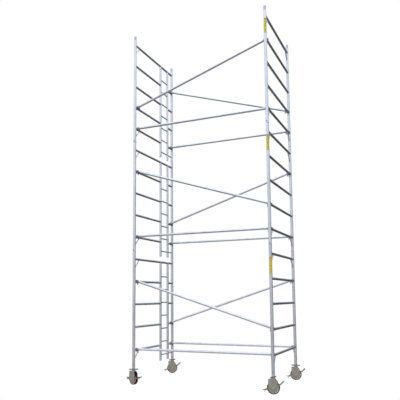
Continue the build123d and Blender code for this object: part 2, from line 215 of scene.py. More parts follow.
def upright_or_level(tree, place, on_upright):
    """Die lines along Z where on_upright is 1, and along Y elsewhere."""
    upright = noise(tree, place, (DIE_LINE, DIE_LINE, ALONG))
    level = noise(tree, place, (DIE_LINE, ALONG, DIE_LINE))
    return choose(tree, on_upright, level, upright)


def frame_lines(tree, place):
    """The legs' lines run along Z, and the rungs' and knees' along Y."""
    reach = math_node(tree, "ABSOLUTE", axes(tree, place)["Y"])
    on_leg = math_node(tree, "GREATER_THAN", reach, SIDE_Y - LEG_R - 0.001)
    return upright_or_level(tree, place, on_leg)


def ladder_lines(tree, place):
    """The stiles' lines run along Z, and the ladder rungs' along Y."""
    middle = sum(STILES) / 2
    reach = math_node(tree, "ABSOLUTE", math_node(tree, "SUBTRACT", axes(tree, place)["Y"], middle))
    on_stile = math_node(tree, "GREATER_THAN", reach, (STILES[1] - STILES[0]) / 2 - STILE_R)
    return upright_or_level(tree, place, on_stile)


def brace_lines(tree, place):
    """The braces' lines run along X, tilted to each diagonal's own slope."""
    across = axes(tree, place)
    rear = math_node(tree, "SIGN", across["Y"])
    top_lift = math_node(tree, "GREATER_THAN", across["Z"], LIFT_BASES[2] + RAIL_ZONE)
    flipped = math_node(tree, "SUBTRACT", 1.0, math_node(tree, "MULTIPLY", top_lift, 2.0))
    way = math_node(tree, "MULTIPLY", rear, flipped)
    in_lift = math_node(tree, "MODULO", math_node(tree, "SUBTRACT", across["Z"], LIFT_BASES[0]), LIFT)
    sloped = math_node(tree, "GREATER_THAN", in_lift, RAIL_ZONE)
    slope = math.atan2(2 * RUNG_SPACING, 2 * END_X)
    tilt = math_node(tree, "MULTIPLY", math_node(tree, "MULTIPLY", way, sloped), slope)
    turn = add_node(tree, "ShaderNodeCombineXYZ", {"Y": tilt}).outputs[0]
    return noise(tree, place, (ALONG, DIE_LINE, DIE_LINE), 2.0, turn)


def cast_finish(name, light, dark, roughness, grain=1.6, depth=0.35):
    """A cast and tumbled surface: sandy grain that breaks the highlight up, darker in the hollows."""
    material, tree, shader, place = new_material(name, 1.0, roughness)
    sand = noise(tree, place, (grain, grain, grain), 4.0)
    cloud = noise(tree, place, (14, 14, 14), 3.0)
    colour = blend(tree, between(tree, cloud, 0.35, 0.68, 0.0, 1.0), light, dark)
    tree.links.new(colour, shader.inputs["Base Color"])
    rough = between(tree, sand, 0.3, 0.7, roughness - 0.07, roughness + 0.1)
    tree.links.new(rough, shader.inputs["Roughness"])
    relief(tree, shader, sand, depth, 0.5)
    return material


def plated_finish(name, light, dark, tinge, roughness, spangle=9.0):
    """Zinc-plated pressed steel: cloudy passivation with a faint coloured bloom and fine scratches."""
    material, tree, shader, place = new_material(name, 1.0, roughness)
    cloud = noise(tree, place, (spangle, spangle, spangle), 4.0)
    bloom = noise(tree, place, (40, 40, 40), 2.0)
    scratch = noise(tree, place, (1.2, 1.2, 26), 2.0)
    colour = blend(tree, between(tree, cloud, 0.35, 0.66, 0.0, 1.0), light, dark)
    tinted = blend(tree, between(tree, bloom, 0.5, 0.72, 0.0, 0.55), colour, tinge)
    tree.links.new(tinted, shader.inputs["Base Color"])
    rough = math_node(tree, "ADD", between(tree, cloud, 0.3, 0.7, roughness - 0.06, roughness + 0.06),
                      between(tree, scratch, 0.55, 0.75, 0.0, 0.1))
    tree.links.new(rough, shader.inputs["Roughness"])
    relief(tree, shader, cloud, 0.12, 0.35)
    return material


def tread_finish():
    """Cast polyurethane, maroon: a waxy sheen, dust in the low places and rolling scuffs round it."""
    material, tree, shader, place = new_material("polyurethane_tread_cast_maroon", 0.0, 0.62)
    cloud = noise(tree, place, (30, 30, 30), 3.0)
    scuff = noise(tree, place, (4, 4, 4), 4.0)
    colour = blend(tree, between(tree, cloud, 0.3, 0.7, 0.0, 1.0), "#340a13", "#1d0509")
    dusty = blend(tree, between(tree, scuff, 0.6, 0.8, 0.0, 0.25), colour, "#553a39")
    tree.links.new(dusty, shader.inputs["Base Color"])
    tree.links.new(between(tree, scuff, 0.35, 0.7, 0.5, 0.72), shader.inputs["Roughness"])
    shader.inputs["Specular IOR Level"].default_value = 0.2
    shader.inputs["IOR"].default_value = 1.49
    relief(tree, shader, scuff, 0.2, 0.3)
    return material


def core_finish():
    """Pressure-cast alloy wheel core with a pale grey powder coat: even, slightly pebbled, dusty."""
    material, tree, shader, place = new_material("powder_coat_pale_grey_on_cast_core", 0.0, 0.38)
    pebble = noise(tree, place, (1.4, 1.4, 1.4), 2.0)
    cloud = noise(tree, place, (22, 22, 22), 3.0)
    colour = blend(tree, between(tree, cloud, 0.4, 0.7, 0.0, 0.8), "#eef6f7", "#d4dee0")
    tree.links.new(colour, shader.inputs["Base Color"])
    tree.links.new(between(tree, pebble, 0.3, 0.7, 0.32, 0.46), shader.inputs["Roughness"])
    shader.inputs["IOR"].default_value = 1.5
    relief(tree, shader, pebble, 0.15, 0.3)
    return material


def painted_finish(name, base, worn_to, roughness):
    """Thin coat on a small casting, rubbed through a little where fingers work it."""
    material, tree, shader, place = new_material(name, 0.35, roughness)
    rub = noise(tree, place, (5, 5, 5), 4.0)
    colour = blend(tree, between(tree, rub, 0.56, 0.74, 0.0, 0.7), base, worn_to)
    tree.links.new(colour, shader.inputs["Base Color"])
    rough = between(tree, rub, 0.35, 0.7, roughness - 0.08, roughness + 0.1)
    tree.links.new(rough, shader.inputs["Roughness"])
    relief(tree, shader, rub, 0.15, 0.3)
    return material


def weld_finish():
    """TIG weld bead in alloy: bright as new metal, with smudges of soot. Its ripple is in its shape."""
    material, tree, shader, place = new_material("aluminium_weld_bead_tig", 1.0, 0.3)
    soot = noise(tree, place, (5, 5, 5), 3.0)
    colour = blend(tree, between(tree, soot, 0.5, 0.75, 0.0, 0.8), "#dcdcda", "#8c8a88")
    tree.links.new(colour, shader.inputs["Base Color"])
    tree.links.new(between(tree, soot, 0.3, 0.7, 0.24, 0.45), shader.inputs["Roughness"])
    return material


# The labels, in metres and radians: how high one starts above the lower end of its leg, its
# height, the way it faces, how far round the leg it goes to each side, the film's thickness, and
# its lift off the leg. Its print is a header along the top and a round spot near the middle.
STICKER_FOOT = 1.585
STICKER_HEIGHT = 0.26
STICKER_FACING = math.radians(-65.0)
STICKER_HALF_WRAP = math.radians(52)
STICKER_FILM = 0.0003
STICKER_LIFT = 0.0002
HEADER_HEIGHT = 0.016
SPOT_R = 0.009
SPOT_AT = 0.48


def sticker_finish():
    """Vinyl label film, yellow, with an orange header and a small orange spot: glossy, a bit scuffed."""
    material, tree, shader, place = new_material("vinyl_label_film_yellow", 0.0, 0.3)
    across = axes(tree, place)
    up = math_node(tree, "MODULO", math_node(tree, "SUBTRACT", across["Z"], LIFT_BASES[0]), LIFT)
    header = math_node(tree, "GREATER_THAN", up, STICKER_FOOT + STICKER_HEIGHT - HEADER_HEIGHT)
    middle = Vector((math.cos(STICKER_FACING), math.sin(STICKER_FACING), 0)) * LEG_R
    on_label = add_node(tree, "ShaderNodeCombineXYZ", {
        "X": across["X"], "Y": across["Y"], "Z": up}).outputs[0]
    spot_at = (END_X + middle.x, -SIDE_Y + middle.y, STICKER_FOOT + STICKER_HEIGHT * SPOT_AT)
    far = add_node(tree, "ShaderNodeVectorMath", {0: on_label, 1: spot_at}, operation="DISTANCE")
    spot = math_node(tree, "LESS_THAN", far.outputs["Value"], SPOT_R)
    printed = math_node(tree, "MAXIMUM", header, spot)
    fade = noise(tree, place, (30, 30, 60), 3.0)
    film = blend(tree, between(tree, fade, 0.35, 0.7, 0.0, 1.0), "#e2d800", "#d2c606")
    tree.links.new(blend(tree, printed, film, "#d9702a"), shader.inputs["Base Color"])
    scuff = noise(tree, place, (6, 6, 10), 4.0)
    tree.links.new(between(tree, scuff, 0.4, 0.7, 0.22, 0.42), shader.inputs["Roughness"])
    shader.inputs["IOR"].default_value = 1.5
    return material


looks = {
    "frame_tube": tube_finish(
        "aluminium_frame_tube_mill_extruded", 0.3, "#dde0e4", "#c3c6cb", frame_lines),
    "ladder_tube": tube_finish(
        "aluminium_ladder_tube_mill_extruded", 0.32, "#dcdfe2", "#bfc2c8", ladder_lines),
    # The braces' tubes are the smoothest, so their highlights are the tightest.
    "brace_tube": tube_finish(
        "aluminium_brace_tube_mill_extruded", 0.24, "#dfe2e7", "#c6c9cf", brace_lines),
    # Turned on a lathe: nearly smooth, and slightly greyer than the tubes.
    "spigot": cast_finish("aluminium_spigot_turned", "#c8ccd4", "#a6abb4", 0.34, 2.5, 0.1),
    # Drawn wire: small dull highlights under the zinc.
    "clip_wire": plated_finish("spring_steel_wire_zinc_plated", "#a8aaad", "#85878b", "#8f8d80", 0.34, 4.0),
    # As cast and tumbled: grey and grainy, with no sharp highlight.
    "claw_casting": cast_finish("aluminium_claw_gravity_cast", "#a9abae", "#85878b", 0.46),
    # Yellow passivation shows as gold that shifts to brown in patches.
    "rail_trigger": plated_finish(
        "trigger_yellow_zinc_passivated", "#c29a3c", "#8e6c26", "#a87c4a", 0.36, 5.0),
    "diagonal_trigger": painted_finish("trigger_navy_powder_coat", "#161b2c", "#4a4e58", 0.42),
    "jack_screw": plated_finish("jack_thread_zinc_plated_rolled", "#b2b5b9", "#8f9296", "#9c9a8c", 0.33, 6.0),
    # Sand cast and plated over: rough, grey and cloudy.
    "jack_nut": cast_finish("jack_nut_ductile_iron_zinc_plated", "#a6a9ae", "#7f8288", 0.44),
    # Olive passivation over pressed steel: a warm grey-beige with little shine.
    "fork_plating": plated_finish("fork_pressed_steel_olive_zinc", "#b4afa3", "#9a958a", "#a39c82", 0.44),
    "wheel_core": core_finish(),
    "wheel_tread": tread_finish(),
    "pedal_plating": plated_finish("pedal_pressed_steel_zinc_plated", "#a3a5a0", "#7e807b", "#8f8c74", 0.42),
}
weld_look = weld_finish()
sticker_look = sticker_finish()
rivet_look = plated_finish("blind_rivet_zinc_plated", "#b8babd", "#96989b", "#a09e90", 0.32, 3.0)
bolt_look = plated_finish("hexagon_bolt_bright_zinc", "#dfe6ea", "#bfc7cc", "#c8cac4", 0.3, 4.0)

slot_of = {row["node"]: row["material_slot"] for row in frame["record"]["subparts"]}
for name, piece in cad_nodes.items():
    piece.data.materials.clear()
    piece.data.materials.append(looks[slot_of[name]])


# ---------------------------------------------------------------- modelling by hand

def pick_only(*pieces):
    """Leaves just these pieces selected, the last one active."""
    bpy.ops.object.select_all(action="DESELECT")
    for piece in pieces:
        piece.select_set(True)
    bpy.context.view_layer.objects.active = pieces[-1]


def open_mesh(piece):
    """Edit mode on one piece, with nothing in it selected."""
    if piece.mode != "EDIT":
        pick_only(piece)
        bpy.ops.object.mode_set(mode="EDIT")
    bpy.ops.mesh.select_all(action="DESELECT")
    return bmesh.from_edit_mesh(piece.data)


def close_mesh():
    """Back to object mode."""
    bpy.ops.object.mode_set(mode="OBJECT")


def settle(piece):
    """Puts a piece's place in its mesh, with the object at the origin."""
    pick_only(piece)
    bpy.ops.object.transform_apply(location=True, rotation=True, scale=True)


def hand_over(piece, name, look, body, crease=32.0):
    """The last of a piece: smooth shading, name, finish, and the body that it rides on."""
    settle(piece)
    bpy.ops.object.shade_smooth_by_angle(angle=math.radians(crease))
    piece.name = name
    piece.data.name = name
    piece.data.materials.clear()
    piece.data.materials.append(look)
    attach(piece, body)
    bpy.ops.object.select_all(action="DESELECT")


def set_out(pattern, places):
    """A pattern's copies, each with its own mesh, at the given places and joined as one piece."""
    made = []
    for place in places:
        copy = pattern.copy()
        copy.data = pattern.data.copy()
        bpy.context.scene.collection.objects.link(copy)
        copy.matrix_world = place @ pattern.matrix_world
        made.append(copy)
    pick_only(*made)
    if len(made) > 1:
        bpy.ops.object.join()
    joined = bpy.context.object
    settle(joined)
    return joined


def scrap(*pieces):
    """Removes patterns that were only there to be copied."""
    for piece in pieces:
        bpy.data.objects.remove(piece)


def turned(outline, steps=48):
    """A piece turned about Z from its outline of radii and heights in millimetres, axis to axis."""
    bpy.ops.object.select_all(action="DESELECT")
    bpy.ops.mesh.primitive_plane_add(size=0.001)
    piece = bpy.context.object
    bpy.ops.object.mode_set(mode="EDIT")
    bpy.ops.mesh.merge(type="CENTER")
    radius, height = outline[0]
    bpy.ops.transform.translate(value=(radius / 1000, 0, height / 1000))
    for next_radius, next_height in outline[1:]:
        step = ((next_radius - radius) / 1000, 0, (next_height - height) / 1000)
        bpy.ops.mesh.extrude_vertices_move(TRANSFORM_OT_translate={"value": step})
        radius, height = next_radius, next_height
    bpy.ops.mesh.select_all(action="SELECT")
    bpy.ops.mesh.spin(steps=steps, angle=2 * math.pi, center=(0, 0, 0), axis=(0, 0, 1))
    bpy.ops.mesh.select_all(action="SELECT")
    bpy.ops.mesh.remove_doubles(threshold=0.000002)
    bpy.ops.mesh.normals_make_consistent(inside=False)
    close_mesh()
    return piece


def softened(node, width, body):
    """A copy of a CAD piece with its sharp edges eased by width millimetres, which stands for it."""
    source = cad_nodes[node]
    piece = source.copy()
    piece.data = source.data.copy()
    piece.parent = None
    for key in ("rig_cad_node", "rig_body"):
        if key in piece:
            del piece[key]
    bpy.context.scene.collection.objects.link(piece)
    pick_only(piece)
    bpy.ops.object.mode_set(mode="EDIT")
    bpy.ops.mesh.select_all(action="SELECT")
    bpy.ops.mesh.remove_doubles(threshold=0.000005)
    bpy.ops.mesh.customdata_custom_splitnormals_clear()
    close_mesh()
    eased = piece.modifiers.new("eased_edges", "BEVEL")
    eased.width = width / 1000
    eased.segments = 2
    eased.limit_method = "ANGLE"
    eased.angle_limit = math.radians(35)
    bpy.ops.object.modifier_apply(modifier=eased.name)
    hand_over(piece, node + "_eased", looks[slot_of[node]], body)
    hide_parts(node)


bodies = frame["record"]["behaviour"]["bodies"]
body_of = {node: body for body, nodes in bodies.items() for node in nodes}


# ---------------------------------------------------------------- weld beads

BEAD_SECTIONS = 44
BEAD_SIDES = 8
RIPPLE = 0.84        # the smaller sections' size beside the others
BEAD_CREASE = 80.0   # the beads are shaded round, so only sharper edges than this show


def wall_distance(point, run, wall):
    """How far along run a point is from the surface of a round wall about Z."""
    flat_point = Vector((point.x, point.y))
    flat_run = Vector((run.x, run.y))
    along = flat_run.dot(flat_run)
    half = flat_point.dot(flat_run)
    inside = half * half - along * (flat_point.dot(flat_point) - wall * wall)
    return (-half + math.sqrt(max(0.0, inside))) / along


def weld_bead(tube, wall, bead, slant=0.0):
    """The bead round a tube that meets a round wall. The wall's axis is Z, and the tube leaves it
    towards +X, raised by slant. Every other section is smaller, which gives the ripple."""
    run = Vector((math.cos(slant), 0, math.sin(slant)))
    bpy.ops.object.select_all(action="DESELECT")
    bpy.ops.mesh.primitive_torus_add(
        major_segments=BEAD_SECTIONS, minor_segments=BEAD_SIDES,
        major_radius=tube, minor_radius=bead, rotation=(0, math.pi / 2 - slant, 0))
    ring = bpy.context.object
    settle(ring)
    for section in range(BEAD_SECTIONS):
        mesh = open_mesh(ring)
        mesh.verts.ensure_lookup_table()
        chosen = mesh.verts[section * BEAD_SIDES:(section + 1) * BEAD_SIDES]
        for vert in chosen:
            vert.select_set(True)
        middle = sum((vert.co for vert in chosen), Vector()) / BEAD_SIDES
        mesh.select_flush(True)
        move = run * wall_distance(middle, run, wall)
        bpy.ops.transform.translate(value=move)
        if section % 2:
            bpy.ops.transform.resize(value=(RIPPLE, RIPPLE, RIPPLE), center_override=middle + move)
        close_mesh()
    return ring


def at(x, y, z, heading):
    """A place, turned about Z."""
    return Matrix.Translation((x, y, z)) @ Matrix.Rotation(math.radians(heading), 4, "Z")


def framed(x, y, z, side, up):
    """A place whose X and Z point along side and up."""
    z_axis = Vector(up)
    x_axis = Vector(side)
    y_axis = z_axis.cross(x_axis)
    turn = Matrix((x_axis, y_axis, z_axis)).transposed().to_4x4()
    return Matrix.Translation((x, y, z)) @ turn


KNEE_SLANT = math.radians(45)

# One bead for each kind of joint: the tube's radius, the wall's, and the bead's own.
rung_at_leg = weld_bead(RUNG_R, LEG_R, 0.0030)
rung_at_stile = weld_bead(RUNG_R, STILE_R - 0.0002, 0.0028)
step_at_stile = weld_bead(LADDER_RUNG_R, STILE_R, 0.0024)
stay_at_leg = weld_bead(LADDER_RUNG_R, LEG_R, 0.0024)
knee_at_leg = weld_bead(KNEE_R, LEG_R, 0.0020, KNEE_SLANT)
knee_at_rung = weld_bead(KNEE_R, RUNG_R, 0.0020, KNEE_SLANT)
stile_at_rung = weld_bead(STILE_R, RUNG_R, 0.0026)


def knee_places(x, y, rung_z):
    """The knee's two beads: on the leg, and on the underside of the rung."""
    inward = -1 if y > 0 else 1
    foot = at(x, y, rung_z - KNEE_REACH, 90 * inward)
    head = framed(x, y + inward * KNEE_REACH, rung_z, (0, 0, -1), (0, -inward, 0))
    return foot, head


def rungs_at_legs(x, base):
    """The places where a frame's rungs meet its two legs."""
    places = []
    for rise in RUNG_HEIGHTS:
        places.append(at(x, -SIDE_Y, base + rise, 90))
        places.append(at(x, SIDE_Y, base + rise, -90))
    return places


def hand_over_welds(beads, name):
    """Joins the beads of one frame and hands them over."""
    pick_only(*beads)
    bpy.ops.object.join()
    hand_over(bpy.context.object, name, weld_look, "tower", BEAD_CREASE)


KNEE_RUNGS = (RUNG_HEIGHTS[0], TOP_RUNG)
for number, base in enumerate(LIFT_BASES, start=1):
    x = END_X
    knees = [knee_places(x, y, base + rise) for rise in KNEE_RUNGS for y in (-SIDE_Y, SIDE_Y)]
    beads = [
        set_out(rung_at_leg, rungs_at_legs(x, base)),
        set_out(knee_at_leg, [foot for foot, head in knees]),
        set_out(knee_at_rung, [head for foot, head in knees]),
    ]
    hand_over_welds(beads, "plain_frame_welds_" + str(number))

    x = -END_X
    at_stiles = [at(x, STILES[0], base + rise, -90) for rise in RUNG_HEIGHTS[:-1]]
    at_stiles += [at(x, STILES[1], base + rise, 90) for rise in RUNG_HEIGHTS[:-1]]
    knees = [knee_places(x, -SIDE_Y, base + rise) for rise in KNEE_RUNGS]
    steps = [at(x, STILES[0], base + rise, 90) for rise in LADDER_HEIGHTS]
    steps += [at(x, STILES[1], base + rise, -90) for rise in LADDER_HEIGHTS]
    steps.append(at(x, STILES[1], base + LADDER_HEIGHTS[-1], 90))
    tops = [framed(x, y, base + TOP_RUNG, (0, 0, -1), (0, 1, 0)) for y in STILES]
    beads = [
        set_out(rung_at_leg, rungs_at_legs(x, base)),
        set_out(rung_at_stile, at_stiles),
        set_out(knee_at_leg, [foot for foot, head in knees]),
        set_out(knee_at_rung, [head for foot, head in knees]),
        set_out(step_at_stile, steps),
        set_out(stay_at_leg, [at(x, SIDE_Y, base + LADDER_HEIGHTS[-1], -90)]),
        set_out(stile_at_rung, tops),
    ]
    hand_over_welds(beads, "ladder_frame_welds_" + str(number))
scrap(rung_at_leg, rung_at_stile, step_at_stile, stay_at_leg, knee_at_leg, knee_at_rung, stile_at_rung)


# ---------------------------------------------------------------- labels on the front right leg

for number, base in enumerate(LIFT_BASES, start=1):
    middle = base + STICKER_FOOT + STICKER_HEIGHT / 2
    bpy.ops.object.select_all(action="DESELECT")
    bpy.ops.mesh.primitive_cylinder_add(
        vertices=72, radius=LEG_R + STICKER_LIFT, depth=STICKER_HEIGHT, end_fill_type="NOTHING",
        location=(END_X, -SIDE_Y, middle))
    label = bpy.context.object
    mesh = open_mesh(label)
    facing = Vector((math.cos(STICKER_FACING), math.sin(STICKER_FACING), 0))
    for face in mesh.faces:
        if face.normal.dot(facing) < math.cos(STICKER_HALF_WRAP):
            face.select_set(True)
    bpy.ops.mesh.delete(type="FACE")
    close_mesh()
    film = label.modifiers.new("film", "SOLIDIFY")
    film.thickness = STICKER_FILM
    film.offset = 1.0
    bpy.ops.object.modifier_apply(modifier=film.name)
    hand_over(label, "label_film_" + str(number), sticker_look, "tower")


# ---------------------------------------------------------------- rivets

# A rivet's domed head and the start of its shank, as radii and heights in millimetres.
RIVET = ((0, 2.4), (1.6, 2.2), (3.0, 1.6), (4.0, 0.7), (4.4, 0.0), (4.4, -1.0), (0, -1.0))
# Where the rivets sit: along a brace's end from the rung's axis, and down from the top of a leg.
BRACE_RIVETS = (-0.062, -0.080)
SPIGOT_RIVETS = (0.035, 0.085)
rivet = turned(RIVET, 16)

# Each brace: its side of Y, its lift's base, and its rungs at the -X end and at the +X end. The
# front diagonal of the top lift rises to the right, and the two below it fall.
BRACES = []
for base in LIFT_BASES:
    front = (1, 3) if base == LIFT_BASES[-1] else (3, 1)
    BRACES.append((-1, base, 0, 0))
    BRACES.append((1, base, 0, 0))
    BRACES.append((-1, base) + front)
    BRACES.append((1, base) + front[::-1])


def brace_ends():
    """The place of each brace end: its rung's axis at the origin, the tube towards -X, Y across."""
    for side, base, left, right in BRACES:
        z_left = base + RUNG_HEIGHTS[left]
        z_right = base + RUNG_HEIGHTS[right]
        slope = math.atan2(z_right - z_left, 2 * END_X)
        run = math.hypot(z_right - z_left, 2 * END_X)
        middle = Matrix.Translation((0, side * BRACE_Y, (z_left + z_right) / 2))
        middle = middle @ Matrix.Rotation(-slope, 4, "Y")
        yield middle @ Matrix.Translation((run / 2, 0, 0))
        yield middle @ Matrix.Translation((-run / 2, 0, 0)) @ Matrix.Rotation(math.pi, 4, "Z")


heads = []
for end in brace_ends():
    for x in BRACE_RIVETS:
        for out in (-1, 1):
            flat = Matrix.Rotation(-out * math.pi / 2, 4, "X")
            heads.append(end @ Matrix.Translation((x, out * BRACE_R, BRACE_RISE)) @ flat)
rivets = set_out(rivet, heads)
hand_over(rivets, "brace_end_rivets", rivet_look, "tower")

heads = []
for base in LIFT_BASES:
    for sx in (-1, 1):
        for sy in (-1, 1):
            for below in SPIGOT_RIVETS:
                up = base + LEG_LENGTH - below
                place = Matrix.Translation((sx * (END_X + LEG_R), sy * SIDE_Y, up))
                heads.append(place @ Matrix.Rotation(sx * math.pi / 2, 4, "Y"))
rivets = set_out(rivet, heads)
hand_over(rivets, "spigot_rivets", rivet_look, "tower")
scrap(rivet)


# ---------------------------------------------------------------- jack screws

# The thread in millimetres, but for the height where it starts, in metres. Its tooth is sunk a
# little in the core, and is TOOTH of the pitch high at its root and CREST of that at its crest.
THREAD_PITCH = 8.0
THREAD_TURNS = 46
THREAD_STEPS = 20
THREAD_LOW = 0.251
CORE_R = 16.4
CREST_R = 18.9
SUNK = 0.8
TOOTH = 0.78
CREST = 0.35

# Kingpin and its head, shoulder, then the core of the thread up to its chamfered end.
JACK_OUTLINE = (
    (0, 213.8), (14.2, 213.8), (15.0, 214.6), (15.0, 220.9), (14.2, 221.7), (10.0, 221.7),
    (10.0, 239.3), (26.2, 239.3), (27.0, 240.1), (27.0, 244.9), (26.2, 245.7), (18.0, 245.7),
    (CORE_R, 247.5), (CORE_R, 622.0), (CORE_R - 3.0, 625.0), (0, 625.0),
)
core = turned(JACK_OUTLINE, 48)

# The thread's section is drawn as a wire, and wound up the core.
tooth_middle = ((CORE_R + CREST_R) / 2 / 1000 - SUNK / 2 / 1000, 0, THREAD_LOW)
bpy.ops.object.select_all(action="DESELECT")
bpy.ops.mesh.primitive_plane_add(size=0.001, location=tooth_middle, rotation=(math.pi / 2, 0, 0))
thread = bpy.context.object
settle(thread)
open_mesh(thread)
bpy.ops.mesh.select_all(action="SELECT")
bpy.ops.transform.resize(
    value=(CREST_R - CORE_R + SUNK, 1, THREAD_PITCH * TOOTH), center_override=tooth_middle)
bpy.ops.mesh.delete(type="ONLY_FACE")
mesh = open_mesh(thread)
crest = max(vert.co.x for vert in mesh.verts)
for vert in mesh.verts:
    vert.select_set(vert.co.x > crest - 0.0001)
mesh.select_flush(True)
bpy.ops.transform.resize(value=(1, 1, CREST), center_override=(crest, 0, THREAD_LOW))
close_mesh()
wound = thread.modifiers.new("wound", "SCREW")
wound.axis = "Z"
wound.screw_offset = THREAD_PITCH / 1000
wound.iterations = THREAD_TURNS
wound.steps = THREAD_STEPS
wound.render_steps = THREAD_STEPS
wound.use_smooth_shade = True
bpy.ops.object.modifier_apply(modifier=wound.name)
open_mesh(thread)
bpy.ops.mesh.select_all(action="SELECT")
bpy.ops.mesh.remove_doubles(threshold=0.000002)
bpy.ops.mesh.fill_holes(sides=4)
bpy.ops.mesh.select_all(action="SELECT")
bpy.ops.mesh.normals_make_consistent(inside=False)
close_mesh()
for name, sx, sy, heading in CORNERS:
    stand = Matrix.Translation((sx * END_X, sy * SIDE_Y, 0))
    parts = [set_out(core, [stand]), set_out(thread, [stand])]
    pick_only(*parts)
    bpy.ops.object.join()
    jack = bpy.context.object
    hand_over(jack, "jack_thread_" + name, looks["jack_screw"], "jack_" + name)
    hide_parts("jack_screw_" + name)
scrap(core, thread)


# ---------------------------------------------------------------- casters

# Tread: crowned face, with a shallow groove round it and one on each side wall.
TREAD_OUTLINE = (
    (84.0, -25.0), (88.0, -25.0), (89.0, -24.2), (91.0, -24.2), (92.0, -25.0), (93.5, -25.0),
    (96.2, -24.2), (98.3, -22.4), (99.5, -19.5), (99.9, -14.0), (100.0, -0.9), (99.7, -0.5),
    (99.7, 0.5), (100.0, 0.9), (99.9, 14.0), (99.5, 19.5), (98.3, 22.4), (96.2, 24.2),
    (93.5, 25.0), (92.0, 25.0), (91.0, 24.2), (89.0, 24.2), (88.0, 25.0), (84.0, 25.0), (84.0, -25.0),
)
# Core: bored hub, web, and the seat with a rolled lip on each side.
CORE_OUTLINE = (
    (8.05, -26.0), (9.0, -26.0), (24.5, -26.0), (26.0, -24.5), (27.5, -10.0), (31.0, -6.0),
    (68.0, -6.0), (72.0, -9.0), (74.0, -19.0), (74.5, -22.0), (76.0, -23.0), (82.0, -23.0), (84.0, -21.8),
    (84.0, 21.8), (82.0, 23.0), (76.0, 23.0), (74.5, 22.0), (74.0, 19.0), (72.0, 9.0), (68.0, 6.0),
    (31.0, 6.0), (27.5, 10.0), (26.0, 24.5), (24.5, 26.0), (9.0, 26.0), (8.05, 26.0), (8.05, -26.0),
)
tread = turned(TREAD_OUTLINE, 96)
core = turned(CORE_OUTLINE, 72)

# One rib between hub and seat, thinner towards its edge: where its middle and its edge are in
# metres, its size in millimetres, and the edge's size beside the root's.
RIB_MIDDLE = (0.050, 0, 0.0115)
RIB_EDGE = (0.050, 0, 0.018)
RIB_SIZE = (50, 7, 13)
RIB_TAPER = (0.94, 0.6, 1)
RIBS_A_SIDE = 6
FIRST_RIB = 0.3
bpy.ops.object.select_all(action="DESELECT")
bpy.ops.mesh.primitive_cube_add(size=0.001, location=RIB_MIDDLE)
rib = bpy.context.object
settle(rib)
open_mesh(rib)
bpy.ops.mesh.select_all(action="SELECT")
bpy.ops.transform.resize(value=RIB_SIZE, center_override=RIB_MIDDLE)
mesh = open_mesh(rib)
for face in mesh.faces:
    face.select_set(face.normal.z > 0.9)
bpy.ops.transform.resize(value=RIB_TAPER, center_override=RIB_EDGE)
bpy.ops.mesh.select_all(action="SELECT")
bpy.ops.mesh.bevel(offset=0.0008, segments=2, affect="EDGES")
close_mesh()
places = []
for side in (0, math.pi):
    for count in range(RIBS_A_SIDE):
        round_hub = Matrix.Rotation(count * 2 * math.pi / RIBS_A_SIDE + FIRST_RIB, 4, "Z")
        places.append(Matrix.Rotation(side, 4, "X") @ round_hub)
ribs = set_out(rib, places)
pick_only(core, ribs)
bpy.ops.object.join()
core = bpy.context.object
scrap(rib)

# The stiffening ridge pressed in a fork plate: half a ring under the axle, run up both sides and
# tapered there. Half of its thickness stands out of the plate.
RIDGE_R = 0.062
RIDGE_WIDTH = 0.0032
RIDGE_RUN = 0.068
RIDGE_TAPER = (0.985, 0.3, 1)
bpy.ops.object.select_all(action="DESELECT")
bpy.ops.mesh.primitive_torus_add(
    major_segments=64, minor_segments=10,
    major_radius=RIDGE_R, minor_radius=RIDGE_WIDTH, rotation=(math.pi / 2, 0, 0))
ridge = bpy.context.object
settle(ridge)
open_mesh(ridge)
bpy.ops.mesh.select_all(action="SELECT")
bpy.ops.mesh.bisect(plane_co=(0, 0, 0), plane_no=(0, 0, 1), clear_outer=True, use_fill=True)
mesh = open_mesh(ridge)
for face in mesh.faces:
    face.select_set(face.normal.z > 0.95 and abs(face.calc_center_median().z) < 0.0002)
bpy.ops.mesh.extrude_region_move(TRANSFORM_OT_translate={"value": (0, 0, RIDGE_RUN)})
bpy.ops.transform.resize(value=RIDGE_TAPER, center_override=(0, 0, RIDGE_RUN))
bpy.ops.mesh.select_all(action="SELECT")
bpy.ops.transform.resize(value=(1, 0.5, 1), center_override=(0, 0, 0))
close_mesh()

# The round pressed seat that the axle's nut and head sit on.
BOSS_OUTLINE = (
    (0, -1.0), (27.0, -1.0), (27.0, 0.2), (25.6, 1.4), (17.0, 1.4), (15.5, 0.4), (0, 0.4),
)
boss = turned(BOSS_OUTLINE, 48)

# The race's cover: a rolled lip over the balls.
RACE_OUTLINE = (
    (20.0, 228.2), (38.4, 228.2), (39.0, 229.2), (39.0, 233.0), (38.0, 235.0), (35.6, 236.0),
    (34.8, 237.6), (33.6, 238.7), (29.0, 238.9), (20.0, 238.9), (20.0, 228.2),
)
race = turned(RACE_OUTLINE, 56)

